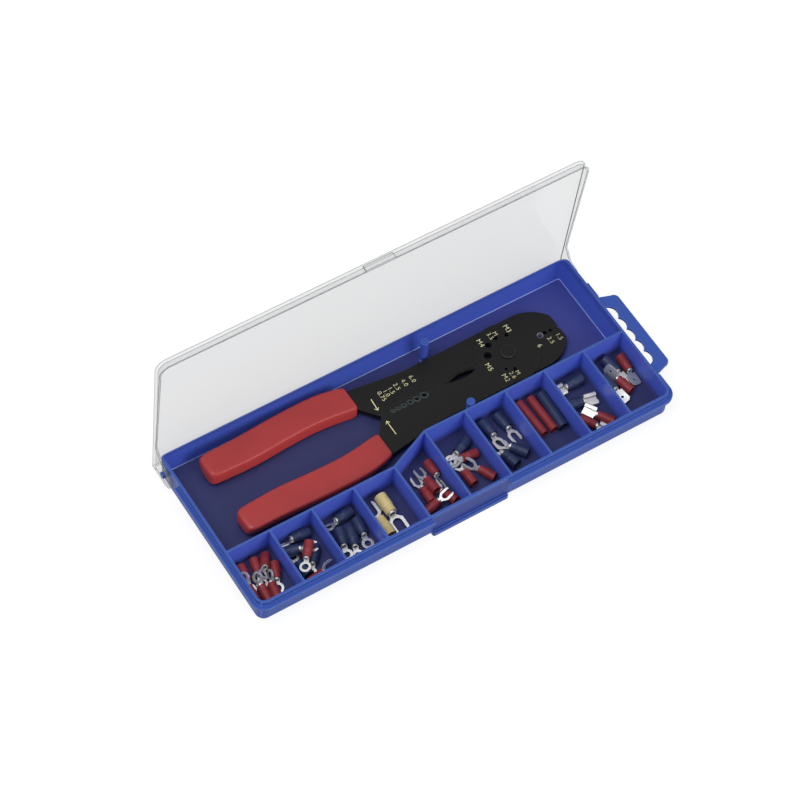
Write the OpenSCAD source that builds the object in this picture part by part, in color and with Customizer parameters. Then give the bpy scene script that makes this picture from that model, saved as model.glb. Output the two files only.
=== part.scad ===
// Crimping and wire stripping tool in a hinged case, with ten cells of crimp terminals.
// Sizes are in millimetres. The origin is the centre of the tray's underside, X runs along the
// case, +Y is the hinge side and Z is up. The lid is drawn standing open.

/* [Tray] */
// Inside depth, floor to rim
tray_d = 18.4; // [17:0.2:22]
// Thickness of the outer walls
wall_t = 1.4; // [1:0.1:2]
// Thickness of the floor
floor_t = 1.6; // [1.2:0.1:2.4]
// Inside radius of the upright corners
corner_r = 4; // [3:0.5:6]
// Radius of the outer bottom edge
base_r = 3; // [1:0.5:3]
// Reach of the ledge under the lid's skirt
ledge_out = 2.6; // [2.2:0.1:4]
// Thickness of the ledge
ledge_t = 1.6; // [1:0.1:2.4]
// Width of the finger recess in the front ledge
recess_w = 50; // [30:1:70]

/* [Cells] */
// How much shorter the short cells are, beside the tool's grips
cell_step = 11.4; // [8:0.2:13]
// Thickness of the partition and the dividers
divider_t = 1.2; // [0.8:0.1:1.4]

/* [Hang tab] */
// Width of the tab at its root
tab_w = 62; // [54:1:70]
// Reach of the tab from the wall
tab_out = 12.4; // [11:0.2:16]
// Number of scallops in the slot
scallops = 5; // [3:1:5]
// Spacing of the scallops
scallop_pitch = 8.7; // [8:0.1:9.5]
// Radius of each scallop
scallop_r = 5.7; // [5.2:0.1:6]

/* [Lid] */
// Hinge axis, in front of the back wall's outer face
hinge_in = 8.5; // [7:0.1:9]
// Hinge axis, below the rim
hinge_drop = 10.2; // [9.6:0.1:10.4]
// Diameter of the hinge pins
pin_d = 4; // [3:0.1:5]
// Thickness of the lid's panel
lid_t = 1.4; // [1:0.1:1.8]
// Thickness of the lid's skirt and ears
skirt_t = 1.2; // [0.9:0.1:1.5]
// Depth of the front skirt below the panel
skirt_d = 3.5; // [2.5:0.1:5]
// Radius of the ears about the hinge axis
ear_r = 8.5; // [6:0.1:8.8]
// How far the lid stands open, in degrees
lid_open = 86; // [0:1:92]

/* [Tool] */
// Thickness of the levers
plate_t = 3.2; // [2.6:0.1:4]
// Half the width of the tool at its head
half_w = 19.6; // [18:0.2:20]
// Length of the nose beyond the pivot
nose_l = 35.6; // [34:0.2:37]
// Radius of the nose's outer edge
nose_r = 24; // [22:0.5:28]
// Length of the parting line behind the pivot
arm_l = 87; // [76:1:96]
// Diameter of the rivet's shank
rivet_d = 6; // [4:0.5:8]
// Diameter of the rivet's heads
rivet_head_d = 9.5; // [9:0.5:12]

/* [Grips] */
// Length of the grips
grip_l = 94; // [80:1:104]
// Thickness of the grips
grip_t = 10.5; // [9:0.25:12]
// Width of the grips along most of their length
grip_w = 15.4; // [14:0.2:16]
// Radius of the grips' edges
grip_r = 2.5; // [1.5:0.25:3.5]

/* [Terminals] */
// Length of the blue forks, two of which fit end to end in a cell
fork_l = 20.5; // [18:0.5:23]
// Width of the red rings, three of which fit side by side in a cell
ring_w = 6.6; // [6:0.1:7.4]
// Outside diameter of the red sleeves
red_d = 5; // [4.4:0.1:5.2]
// Outside diameter of the blue sleeves
blue_d = 5.5; // [4.8:0.1:5.7]
// Outside diameter of the yellow sleeves
yellow_d = 7.4; // [6.4:0.1:7.6]
// Thickness of the terminals' metal
metal_t = 0.8; // [0.6:0.05:1]

/* [Hidden] */
$fn = 48;
joint_gap = 0.3;
seat_gap = 0.05;
far = 400;

// The cells hold three rings side by side and two forks end to end with room for fingers. The
// well is as wide as the tool with its grips, the room that they swing in and the room for a
// locating post in front.
cells = 10;
cell_w = 3 * ring_w + 7;
long_cell = 2 * fork_l + 6.4;
short_cell = long_cell - cell_step;
post_d = 4.8;
post_gap = 1.6;
post_u = 1 - arm_l / 2;
post_v = half_w + post_d / 2 + post_gap;
swing_room = 4.1;
spread_near = 18.6;
spread_far = 20.9;
tool_yaw = 1.2;
grip_reach = spread_far + grip_w / 2 + swing_room;
tray_l = cells * cell_w;
tray_w = long_cell + divider_t + 0.81 + post_d / 2 + post_v - post_u * sin(tool_yaw) + grip_reach;

rim_z = floor_t + tray_d;
front_y = -tray_w / 2;
out_x = tray_l / 2 + wall_t;
out_y = tray_w / 2 + wall_t;
hinge_y = out_y - hinge_in;
hinge_z = rim_z - hinge_drop;
skirt_gap = 0.4;
lid_z = rim_z + 0.4;
ledge_z = lid_z - skirt_d - joint_gap;
ledge_end = hinge_y - 14.2;
lean_in = 2.4;
lean_z = floor_t + 0.67 * tray_d;
lip_out = 1.7;
lip_h = 2.4;

bend_a = -tray_l / 2 + 4 * cell_w;
bend_b = -tray_l / 2 + 5 * cell_w;
function divider_x(k) = -tray_l / 2 + k * cell_w;
function cell_back(x) =
    x <= bend_a ? short_cell :
    x >= bend_b ? long_cell :
    short_cell + (long_cell - short_cell) * (x - bend_a) / (bend_b - bend_a);

tab_y = -8.8;
slot_in = out_x + 1;
slot_x = out_x + 0.3;

lid_x = out_x + skirt_gap + skirt_t;
lid_front = -(out_y + skirt_gap + skirt_t);
lid_tail = 9;
lid_corner = corner_r + wall_t + skirt_gap + skirt_t;
skirt_high = lid_z - 1.4;

tool_y = tray_w / 2 - grip_reach;
part_gap = 0.25;
lap_gap = 0.1;
lap_t = (plate_t - lap_gap) / 2;
lap_r = half_w + 0.6;
lap_cut = lap_r + joint_gap;
rivet_head_t = 1;
pivot_z = floor_t + 0.2 + rivet_head_t + seat_gap + plate_t / 2;
grip_near = arm_l + 9;
tool_l = grip_near + grip_l;
tool_x = (tool_l - nose_l) / 2 - 1.7;
tool_tilt = asin((floor_t + seat_gap + grip_t / 2 - pivot_z) / (grip_near + grip_r));
tang_near_w = 13;
tang_w = 9.5;
tang_end = tool_l - 8;
function spread(u) = spread_near + (spread_far - spread_near) * (u - grip_near) / grip_l;

// Gauge holes along the parting line, nose dies and bolt holes round the pivot: place, diameter.
function behind(part) = -lap_cut - part * (arm_l - lap_cut);
function ahead(part) = lap_cut + part * (nose_l - lap_cut);
gauges = [[behind(0.88), 1], [behind(0.827), 1.2], [behind(0.768), 1.5],
    [behind(0.703), 1.9], [behind(0.636), 2.4], [behind(0.559), 2.9]];
dies = [[ahead(0.15), 3.4], [ahead(0.38), 2.8], [ahead(0.63), 2.2]];
bolts = [[162, 5], [126, 4], [93, 3.5], [59, 3], [232, 2], [256, 2.6]];

// Half the outline of the cutter's open mouth, and of the bevel ground round it.
mouth = [[behind(0.34), 0], [behind(0.18), 2.5], [behind(0.09), 1.7], [behind(0.02), 0]];
bevel = [[behind(0.37), 0], [behind(0.185), 3.5], [behind(0.07), 2.6], [behind(0.015), 0]];

// Each kind of terminal: sleeve diameter, sleeve length, whole length, tongue width, hole.
ring_r = [red_d, 10, fork_l - 1.9, ring_w, 3.7];
ring_b = [blue_d, 10.5, fork_l - 0.8, ring_w + 0.4, 3.7];
fork_y = [yellow_d, 12.5, fork_l + 4.5, 9, 5.3];
fork_r = [red_d, 10, fork_l - 1, 6.4, 3.4];
fork_b = [blue_d, 10.5, fork_l, 6.6, 3.4];
push_r = [red_d, 10, fork_l - 1.5, 7.8, 6.4];
push_b = [blue_d, 10.5, fork_l - 1, 7.8, 6.4];
tab_r = [red_d, 10.5, fork_l + 0.5, 6.3, 1.6];
tab_b = [blue_d, 10.5, fork_l + 0.5, 6.3, 1.6];
butt_r = [red_d - 0.6, fork_l + 4.5, fork_l + 4.5, 0, 0];
butt_b = [blue_d - 0.4, fork_l + 4.5, fork_l + 4.5, 0, 0];

// Where each came to rest when the kit was filled: its cell, the middle of its wire end across
// and along the cell as parts of the cell's size and up from the floor, and how it is turned.
red_rings = [
    [1, -0.269, 0.918, 3.1, [0.3, 2.9, -97.5]], [1, -0.396, 0.259, 2.51, [-37.2, -15.6, 90.8]],
    [1, 0.043, 0.92, 3.16, [5.5, 3.2, -102.5]], [1, 0.368, 0.706, 3.25, [3.4, 3.8, -112]],
    [1, 0.009, 0.126, 3.45, [-64.8, -2.8, 81.4]], [1, -0.174, 0.168, 2.56, [-45, -10.5, 87.6]],
    [1, 0.306, 0.897, 2.44, [-45.1, -20.3, -121.2]], [2, 0.167, 0.665, 9.39, [11.5, 2.1, -130]]];
blue_rings = [
    [2, 0.275, 0.637, 3.63, [3, 4.3, -127.2]], [2, -0.192, 0.214, 4.62, [-7.7, 6.4, 93.1]],
    [3, 0.107, 0.619, 2.85, [7.3, 0, -105.3]], [3, -0.094, 0.711, 2.85, [13.1, 0, -104.7]],
    [3, 0.347, 0.732, 2.85, [-5.9, 0, -96.3]], [3, 0.373, 0.891, 2.84, [33.9, -3.5, -173.4]],
    [6, 0.383, 0.814, 3.23, [-9.2, 2.1, -155.9]]];
yellow_forks = [
    [4, -0.237, 0.194, 3.8, [-1.1, 0, 91.4]], [4, 0.053, 0.881, 3.8, [6.6, 0, -89.5]]];
red_forks = [
    [2, -0.279, 0.11, 4.18, [44.5, 1.8, 12.7]], [5, 0.38, 0.186, 3.42, [0, 4.8, 108]],
    [5, -0.063, 0.345, 2.6, [10.3, 0, 89.2]], [5, 0.142, 0.438, 4.35, [11.2, 5.8, 92.9]],
    [5, 0.36, 0.912, 2.59, [-47.7, -4.7, -88.8]], [5, -0.328, 0.241, 2.5, [-2.7, -15.9, 10.9]],
    [6, -0.069, 0.256, 2.6, [1.1, -2.2, 94.8]], [6, 0.39, 0.213, 2.59, [126.1, -5.6, 118.2]],
    [6, 0.393, 0.608, 2.57, [126, -8.6, 177.2]]];
blue_forks = [
    [2, -0.406, 0.777, 3.43, [0.1, -15.3, -22]], [2, 0.356, 0.906, 2.84, [50.8, -4.4, 178]],
    [7, -0.041, 0.214, 3.31, [7.7, 2.5, 104.6]], [7, 0.325, 0.29, 2.85, [8.1, -0.3, 124.9]],
    [7, -0.115, 0.934, 2.84, [-7.1, -3.9, -85.7]], [7, 0.26, 0.936, 2.85, [0, 0, -84.3]]];
red_butts = [
    [8, -0.163, 0.946, 2.3, [0, 0, -87.3]], [8, 0.114, 0.938, 2.3, [0, 0, -88.9]]];
blue_butts = [
    [8, 0.369, 0.912, 2.65, [0, 0, -92]]];
red_push_ons = [
    [9, -0.251, 0.389, 3.47, [0, 5, -57]], [9, 0.33, 0.144, 2.6, [-22.9, -3, 123.5]]];
blue_push_ons = [
    [9, 0.35, 0.848, 3.85, [0, 5.5, -179.7]], [9, -0.352, 0.615, 2.85, [13.6, 0, -11.6]]];
red_tabs = [
    [10, 0.382, 0.891, 2.6, [-16.3, -0.1, -93.2]], [10, 0.094, 0.399, 2.94, [-58.5, -5.2, 105]]];
blue_tabs = [
    [10, 0.023, 0.942, 3.71, [0, 4.8, -76.6]], [10, -0.236, 0.747, 2.85, [17.6, 0, -82.8]]];

module rounded(x, y, r) {
    square([2 * x - 2 * r, 2 * y], center = true);
    square([2 * x, 2 * y - 2 * r], center = true);
    for (sx = [-1, 1], sy = [-1, 1])
        translate([sx * (x - r), sy * (y - r)]) circle(r);
}

// The wall and the edge of the floor in section, outwards from the wall's inner face.
module wall_section() {
    difference() {
        translate([-corner_r, 0]) square([corner_r + wall_t, rim_z]);
        translate([-corner_r, floor_t]) square([corner_r, rim_z]);
        translate([wall_t - base_r, 0]) difference() {
            square(base_r);
            translate([0, base_r]) circle(base_r);
        }
    }
}

module wall_run(length) {
    rotate([90, 0, 90]) linear_extrude(length, center = true) wall_section();
}

module shell() {
    run_x = tray_l - 2 * corner_r;
    run_y = tray_w - 2 * corner_r;
    for (turn = [0, 180]) {
        rotate([0, 0, turn]) translate([0, tray_w / 2, 0]) wall_run(run_x);
        rotate([0, 0, turn + 90]) translate([0, tray_l / 2, 0]) wall_run(run_y);
    }
    for (k = [0 : 3])
        translate([(k == 0 || k == 3 ? 0.5 : -0.5) * run_x, (k < 2 ? 0.5 : -0.5) * run_y, 0])
            rotate([0, 0, 90 * k]) rotate_extrude(angle = 90)
                translate([corner_r, 0]) wall_section();
    translate([-run_x / 2, -run_y / 2, 0]) cube([run_x, run_y, floor_t]);
}

// The rear top edges follow the hinge axis, so that the lid's tail swings past them.
module rear_relief() {
    difference() {
        translate([-far / 2, hinge_y, hinge_z]) cube([far, far, far]);
        translate([0, hinge_y, hinge_z]) rotate([0, 90, 0])
            cylinder(r = hinge_drop, h = far, center = true);
    }
}

module ledge() {
    out_r = corner_r + wall_t + ledge_out;
    difference() {
        translate([0, 0, ledge_z - ledge_t]) linear_extrude(ledge_t) difference() {
            rounded(out_x + ledge_out, out_y + ledge_out, out_r);
            rounded(out_x - wall_t / 2, out_y - wall_t / 2, corner_r + wall_t / 2);
            translate([-far / 2, ledge_end]) square(far);
            translate([-recess_w / 2, -far - tray_w / 4]) square([recess_w, far]);
        }
        translate([out_x, tab_y - tab_w / 2, 0]) cube([far, tab_w, far]);
    }
}

module finger_lip() {
    linear_extrude(lip_h) {
        translate([-recess_w / 2, -out_y - lip_out + 1.5])
            square([recess_w, lip_out + wall_t / 2 - 1.5]);
        translate([-recess_w / 2 + 1.5, -out_y - lip_out]) square([recess_w - 3, 2]);
        for (s = [-1, 1])
            translate([s * (recess_w / 2 - 1.5), -out_y - lip_out + 1.5]) circle(1.5);
    }
}

// The well's walls lean in towards the floor, as a mould needs. This is the lean in section.
module lean_section() {
    polygon([[0.3, floor_t / 2], [-lean_in, floor_t / 2], [-lean_in, floor_t], [0, lean_z], [0.3, lean_z]]);
}

module lean() {
    run_x = tray_l - 2 * corner_r;
    start_y = front_y + long_cell + divider_t;
    low_y = front_y + short_cell + divider_t;
    back_y = tray_w / 2 - corner_r;
    translate([0, tray_w / 2, 0]) rotate([90, 0, 90])
        linear_extrude(run_x, center = true) lean_section();
    translate([tray_l / 2, start_y, 0]) rotate([90, 0, 0]) mirror([0, 0, 1])
        linear_extrude(back_y - start_y) lean_section();
    translate([-tray_l / 2, low_y, 0]) mirror([1, 0, 0]) rotate([90, 0, 0]) mirror([0, 0, 1])
        linear_extrude(back_y - low_y) lean_section();
    for (k = [0, 1])
        translate([(k == 0 ? 0.5 : -0.5) * run_x, back_y, 0]) rotate([0, 0, 90 * k])
            rotate_extrude(angle = 90) translate([corner_r, 0]) lean_section();
}

module tray() {
    color("royalblue") {
        lean();
        difference() {
            shell();
            rear_relief();
        }
        ledge();
        finger_lip();
        for (s = [-1, 1])
            translate([tool_x, tool_y, floor_t / 2]) rotate(tool_yaw) translate([post_u, s * post_v, 0])
                cylinder(d = post_d, h = rim_z - 0.5 - floor_t / 2);
        for (s = [-1, 1])
            translate([s * (out_x + 0.6), hinge_y, hinge_z]) rotate([0, 90, 0])
                cylinder(d = pin_d, h = 2 * skirt_gap + 2 * skirt_t + 1, center = true);
    }
}

module partition() {
    color("royalblue") translate([0, front_y, floor_t]) linear_extrude(tray_d)
        polygon([
            [-tray_l / 2, short_cell], [bend_a, short_cell], [bend_b, long_cell],
            [tray_l / 2, long_cell], [tray_l / 2, long_cell + divider_t],
            [bend_b, long_cell + divider_t], [bend_a, short_cell + divider_t],
            [-tray_l / 2, short_cell + divider_t]]);
}

module dividers() {
    color("royalblue") for (k = [1 : cells - 1]) {
        x = divider_x(k);
        depth = min(cell_back(x - divider_t / 2), cell_back(x + divider_t / 2));
        translate([x - divider_t / 2, front_y, floor_t]) cube([divider_t, depth, tray_d]);
    }
}

module hang_tab() {
    r = 3.5;
    slant = 3;
    end_x = out_x + tab_out;
    color("royalblue") translate([0, tab_y, ledge_z - ledge_t]) linear_extrude(ledge_t)
        difference() {
            union() {
                polygon([
                    [out_x, -tab_w / 2], [end_x - r, -tab_w / 2 + slant],
                    [end_x - r, tab_w / 2 - slant], [out_x, tab_w / 2]]);
                translate([end_x - r - 1, -tab_w / 2 + slant + r])
                    square([r + 1, tab_w - 2 * slant - 2 * r]);
                for (s = [-1, 1])
                    translate([end_x - r, s * (tab_w / 2 - slant - r)]) circle(r);
            }
            intersection() {
                for (k = [0 : scallops - 1])
                    translate([slot_x, (k - (scallops - 1) / 2) * scallop_pitch])
                        circle(scallop_r);
                translate([slot_in, -far / 2]) square(far);
            }
        }
}

// The lid's outline in plan, its front corners rounded and its rear edge square.
module lid_plan(inset) {
    x = lid_x - inset;
    y = lid_front + inset;
    r = lid_corner - inset;
    translate([-x, y + r]) square([2 * x, hinge_y + lid_tail - y - r + inset]);
    translate([-x + r, y]) square([2 * x - 2 * r, r]);
    for (s = [-1, 1])
        translate([s * (x - r), y + r]) circle(r);
}

// One ear in side view about the hinge axis, rising into the side skirt.
module ear_view() {
    rise = lid_z - hinge_z;
    difference() {
        union() {
            circle(ear_r);
            polygon([
                [-ear_r * 0.94, ear_r * 0.3], [-16.2, skirt_high - hinge_z], [-16.2, rise],
                [ear_r, rise], [ear_r, 0], [-ear_r, 0]]);
        }
        circle(pin_d / 2 + 0.1);
    }
}

module lid_closed() {
    translate([0, 0, lid_z]) linear_extrude(lid_t) lid_plan(0);
    difference() {
        translate([0, 0, lid_z - skirt_d]) linear_extrude(skirt_d) difference() {
            lid_plan(0);
            lid_plan(skirt_t);
        }
        rotate([90, 0, 90]) linear_extrude(far, center = true) polygon([
            [lid_front + 12, lid_z - skirt_d], [hinge_y - 16.2, skirt_high],
            [far, skirt_high], [far, 0], [lid_front + 12, 0]]);
    }
    for (s = [-1, 1])
        translate([s * (lid_x - skirt_t / 2), hinge_y, hinge_z])
            rotate([90, 0, 90]) linear_extrude(skirt_t, center = true) ear_view();
    translate([-9.5, lid_front - 0.8, lid_z - skirt_d]) cube([19, 1, skirt_d]);
}

module lid() {
    color("white", 0.3) translate([0, hinge_y, hinge_z]) rotate([-lid_open, 0, 0])
        translate([0, -hinge_y, -hinge_z]) lid_closed();
}

// Half of the nose: straight beside the pivot, then a long curve to a rounded tip.
module nose_plan() {
    low = part_gap / 2;
    start = 15.5;
    tip_r = 3;
    centre_v = half_w - nose_r;
    tip_u = nose_l - tip_r;
    tip_v = centre_v + sqrt(pow(nose_r - tip_r, 2) - pow(tip_u - start, 2));
    meet_u = start + (tip_u - start) * nose_r / (nose_r - tip_r) - 0.4;
    translate([0, low]) square([start, half_w - low]);
    intersection() {
        translate([start, centre_v]) circle(nose_r, $fn = 96);
        translate([start, low]) square([meet_u - start, half_w]);
    }
    intersection() {
        translate([tip_u, tip_v]) circle(tip_r);
        translate([start, low + 1]) square([far, half_w]);
    }
    translate([start, low]) square([nose_l - 1 - start, tip_v - low]);
    translate([start, low + 1]) square([nose_l - start, tip_v - low - 1]);
}

// The tang inside the grip, from the blade's back corners: wide where it enters, then narrower.
function tang(slack, front) = [
    [-grip_near + front, spread_near - 0.7 - tang_near_w / 2 - slack],
    [-grip_near - 14, spread(grip_near + 14) + 0.6 - tang_w / 2 - slack],
    [-tang_end - slack, spread(tang_end) - tang_w / 2 - slack],
    [-tang_end - slack, spread(tang_end) + tang_w / 2 + slack],
    [-grip_near - 14, spread(grip_near + 14) + 0.6 + tang_w / 2 + slack],
    [-grip_near + front, spread_near - 0.7 + tang_near_w / 2 + slack]];

// The blade behind the pivot, its shoulder and the tang.
module arm_plan() {
    polygon(concat([[0, part_gap / 2], [-arm_l, part_gap / 2]], tang(0, 0),
        [[-arm_l + 27, half_w], [0, half_w]]));
}

module lever_plan() {
    arm_plan();
    mirror([0, 1]) nose_plan();
}

module both_sides(outline) {
    polygon(outline);
    mirror([0, 1]) polygon(outline);
}

// One half of the tool about the pivot: full plate outside the joint, and a half-lap disc under
// it. The two halves are the same stamping, one turned over.
module lever_half(turned) {
    difference() {
        union() {
            translate([0, 0, -plate_t / 2]) linear_extrude(lap_t) {
                lever_plan();
                circle(lap_r, $fn = 96);
            }
            translate([0, 0, lap_t - plate_t / 2]) linear_extrude(plate_t - lap_t) difference() {
                lever_plan();
                circle(lap_cut, $fn = 96);
            }
        }
        cylinder(d = rivet_d + 0.1, h = far, center = true);
        for (g = gauges) {
            translate([g[0], 0, 0]) cylinder(d = g[1] + part_gap, h = far, center = true);
            translate([g[0], 0.6, plate_t / 2 - 1]) cylinder(d = g[1] + 2.2, h = 2);
        }
        linear_extrude(far, center = true) both_sides(mouth);
        translate([0, 0, plate_t / 2 - 0.8]) linear_extrude(far) both_sides(bevel);
        for (n = dies)
            translate([n[0], 0, 0]) cylinder(d = n[1], h = far, center = true);
        for (b = bolts)
            rotate([0, 0, turned ? -b[0] : b[0]]) translate([12, 0, 0])
                cylinder(d = b[1], h = far, center = true);
    }
}

// The grip along its own length from the near end: a round-edged bar with rounded ends.
module grip_bar() {
    intersection() {
        rotate([90, 0, 90]) linear_extrude(grip_l) rounded(grip_w / 2, grip_t / 2, grip_r);
        linear_extrude(far, center = true)
            translate([grip_l / 2, 0]) rounded(grip_l / 2, grip_w / 2, grip_r + 1);
        rotate([90, 0, 0]) linear_extrude(far, center = true)
            translate([grip_l / 2, 0]) rounded(grip_l / 2, grip_t / 2, grip_r);
    }
}

module grip_half() {
    slack = 0.06;
    difference() {
        translate([-grip_near - 0.2, spread_near, 0])
            rotate([0, 0, 180 - atan((spread_far - spread_near) / grip_l)]) grip_bar();
        translate([0, 0, -plate_t / 2 - slack]) linear_extrude(plate_t + 2 * slack)
            polygon(tang(slack, 1));
    }
}

// The tool rests on its rivet and the near ends of its grips, so it lies slightly tilted, and it
// lies a little askew between the posts.
module lay_tool() {
    translate([tool_x, tool_y, pivot_z]) rotate([0, tool_tilt, tool_yaw]) children();
}

module lever_back() {
    color("dimgray") lay_tool() lever_half(false);
}

module lever_front() {
    color("dimgray") lay_tool() rotate([180, 0, 0]) lever_half(true);
}

module grip_back() {
    color("firebrick") lay_tool() grip_half();
}

module grip_front() {
    color("firebrick") lay_tool() rotate([180, 0, 0]) grip_half();
}

module pivot_rivet() {
    face = plate_t / 2 + seat_gap;
    color("silver") lay_tool() {
        cylinder(d = rivet_d, h = 2 * face + 0.4, center = true);
        for (turn = [0, 180])
            rotate([turn, 0, 0]) translate([0, 0, face]) rotate_extrude() polygon([
                [0, 0], [rivet_head_d / 2, 0], [rivet_head_d / 2, rivet_head_t - 0.4],
                [rivet_head_d / 2 - 0.4, rivet_head_t], [0, rivet_head_t]]);
    }
}

// Puts one terminal at each listed place.
module lay(places) {
    for (p = places)
        translate([
            divider_x(p[0] - 0.5 + p[1]),
            front_y + p[2] * cell_back(divider_x(p[0] - 0.5)),
            floor_t + p[3]])
            rotate(p[4]) children();
}

function barrel_r(kind) = 0.34 * kind[0];

// A tube with a wide belled wire end and a narrower waist over the barrel.
module sleeve(kind) {
    r = kind[0] / 2;
    grip_in = barrel_r(kind) + seat_gap;
    bell = r - 0.4;
    l = kind[1];
    rotate([0, 90, 0]) rotate_extrude() polygon([
        [bell, 0], [r - 0.2, 0], [r, 0.2], [r, 0.6 * l], [0.9 * r, 0.68 * l], [0.9 * r, l],
        [grip_in, l], [grip_in, 0.35 * l], [bell, 0.2 * l]]);
}

module butt_sleeve(kind) {
    r = kind[0] / 2;
    grip_in = barrel_r(kind) + seat_gap;
    bell = r - 0.3;
    l = kind[1];
    rotate([0, 90, 0]) rotate_extrude() polygon([
        [bell, 0], [r, 0], [r, l], [bell, l], [bell, 0.85 * l],
        [grip_in, 0.75 * l], [grip_in, 0.25 * l], [bell, 0.15 * l]]);
}

module barrel(kind, from, to) {
    translate([from, 0, 0]) rotate([0, 90, 0]) difference() {
        cylinder(r = barrel_r(kind), h = to - from);
        translate([0, 0, -1]) cylinder(r = barrel_r(kind) - 0.6, h = to - from + 2);
    }
}

// The tongue leaves the barrel along its lower side.
module tongue(kind) {
    translate([0, 0, -barrel_r(kind)]) linear_extrude(metal_t) children();
}

module neck(kind, to) {
    root = kind[1] + 0.1;
    w = 1.7 * barrel_r(kind);
    translate([root, -w / 2]) square([to - root, w]);
}

module lug_barrel(kind) {
    barrel(kind, 0.4 * kind[1], kind[1] + 1);
}

module ring_lug(kind) {
    lug_barrel(kind);
    tongue(kind) {
        eye = kind[2] - kind[3] / 2;
        difference() {
            union() {
                neck(kind, eye);
                translate([eye, 0]) circle(d = kind[3]);
            }
            translate([eye, 0]) circle(d = kind[4]);
        }
    }
}

module fork_lug(kind) {
    lug_barrel(kind);
    tongue(kind) {
        w = kind[3] / 2;
        l = kind[2];
        crotch = l - 0.72 * kind[3];
        shoulder = kind[1] + 2.6;
        difference() {
            union() {
                neck(kind, shoulder);
                polygon([
                    [shoulder - 1, -0.8 * barrel_r(kind)], [shoulder + 1.6, -w], [l - 1.6, -w],
                    [l, -w + 0.8], [l, w - 0.8], [l - 1.6, w], [shoulder + 1.6, w],
                    [shoulder - 1, 0.8 * barrel_r(kind)]]);
            }
            translate([crotch, 0]) circle(d = kind[4]);
            translate([crotch, -kind[4] / 2]) square([far, kind[4]]);
        }
    }
}

// A receptacle with its two edges curled in over the blade's space.
module push_lug(kind) {
    start = kind[2] - 7.4;
    h = 2.6;
    lug_barrel(kind);
    tongue(kind) neck(kind, start + 0.5);
    translate([start, 0, h / 2 - barrel_r(kind)]) rotate([90, 0, 90]) linear_extrude(7.4)
        difference() {
            rounded(kind[3] / 2, h / 2, 0.9);
            square([kind[4], 1], center = true);
            translate([-1.4, 0]) square([2.8, h]);
        }
}

module tab_lug(kind) {
    w = kind[3] / 2;
    l = kind[2];
    lug_barrel(kind);
    tongue(kind) difference() {
        union() {
            neck(kind, l - 8);
            polygon([[l - 8.4, -w], [l - 1.2, -w], [l, -w + 1.4], [l, w - 1.4], [l - 1.2, w],
                [l - 8.4, w]]);
        }
        translate([l - 4, 0]) circle(d = kind[4]);
    }
}

module red_ring_sleeves() { color("firebrick") lay(red_rings) sleeve(ring_r); }
module red_ring_lugs() { color("silver") lay(red_rings) ring_lug(ring_r); }
module blue_ring_sleeves() { color("navy") lay(blue_rings) sleeve(ring_b); }
module blue_ring_lugs() { color("silver") lay(blue_rings) ring_lug(ring_b); }
module yellow_fork_sleeves() { color("khaki") lay(yellow_forks) sleeve(fork_y); }
module yellow_fork_lugs() { color("silver") lay(yellow_forks) fork_lug(fork_y); }
module red_fork_sleeves() { color("firebrick") lay(red_forks) sleeve(fork_r); }
module red_fork_lugs() { color("silver") lay(red_forks) fork_lug(fork_r); }
module blue_fork_sleeves() { color("navy") lay(blue_forks) sleeve(fork_b); }
module blue_fork_lugs() { color("silver") lay(blue_forks) fork_lug(fork_b); }
module red_butt_sleeves() { color("firebrick") lay(red_butts) butt_sleeve(butt_r); }
module red_butt_barrels() { color("silver") lay(red_butts) barrel(butt_r, 6, 19); }
module blue_butt_sleeves() { color("navy") lay(blue_butts) butt_sleeve(butt_b); }
module blue_butt_barrels() { color("silver") lay(blue_butts) barrel(butt_b, 6, 19); }
module red_push_on_sleeves() { color("firebrick") lay(red_push_ons) sleeve(push_r); }
module red_push_on_lugs() { color("silver") lay(red_push_ons) push_lug(push_r); }
module blue_push_on_sleeves() { color("navy") lay(blue_push_ons) sleeve(push_b); }
module blue_push_on_lugs() { color("silver") lay(blue_push_ons) push_lug(push_b); }
module red_tab_sleeves() { color("firebrick") lay(red_tabs) sleeve(tab_r); }
module red_tab_lugs() { color("silver") lay(red_tabs) tab_lug(tab_r); }
module blue_tab_sleeves() { color("navy") lay(blue_tabs) sleeve(tab_b); }
module blue_tab_lugs() { color("silver") lay(blue_tabs) tab_lug(tab_b); }

tray();
partition();
dividers();
hang_tab();
lid();
lever_back();
lever_front();
grip_back();
grip_front();
pivot_rivet();
red_ring_sleeves();
red_ring_lugs();
blue_ring_sleeves();
blue_ring_lugs();
yellow_fork_sleeves();
yellow_fork_lugs();
red_fork_sleeves();
red_fork_lugs();
blue_fork_sleeves();
blue_fork_lugs();
red_butt_sleeves();
red_butt_barrels();
blue_butt_sleeves();
blue_butt_barrels();
red_push_on_sleeves();
red_push_on_lugs();
blue_push_on_sleeves();
blue_push_on_lugs();
red_tab_sleeves();
red_tab_lugs();
blue_tab_sleeves();
blue_tab_lugs();
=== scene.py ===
# %% [markdown]
# # A crimping kit in a blue tray
# A black crimping tool with red grips lies in the long well, and crimp terminals fill ten
# small cells along the front. The solid model comes first: every node of it keeps its place,
# and this lesson dresses it.

# %% Load the solid model
import math

import bmesh
import bpy
import numpy as np
from mathutils import Matrix, Vector


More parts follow.
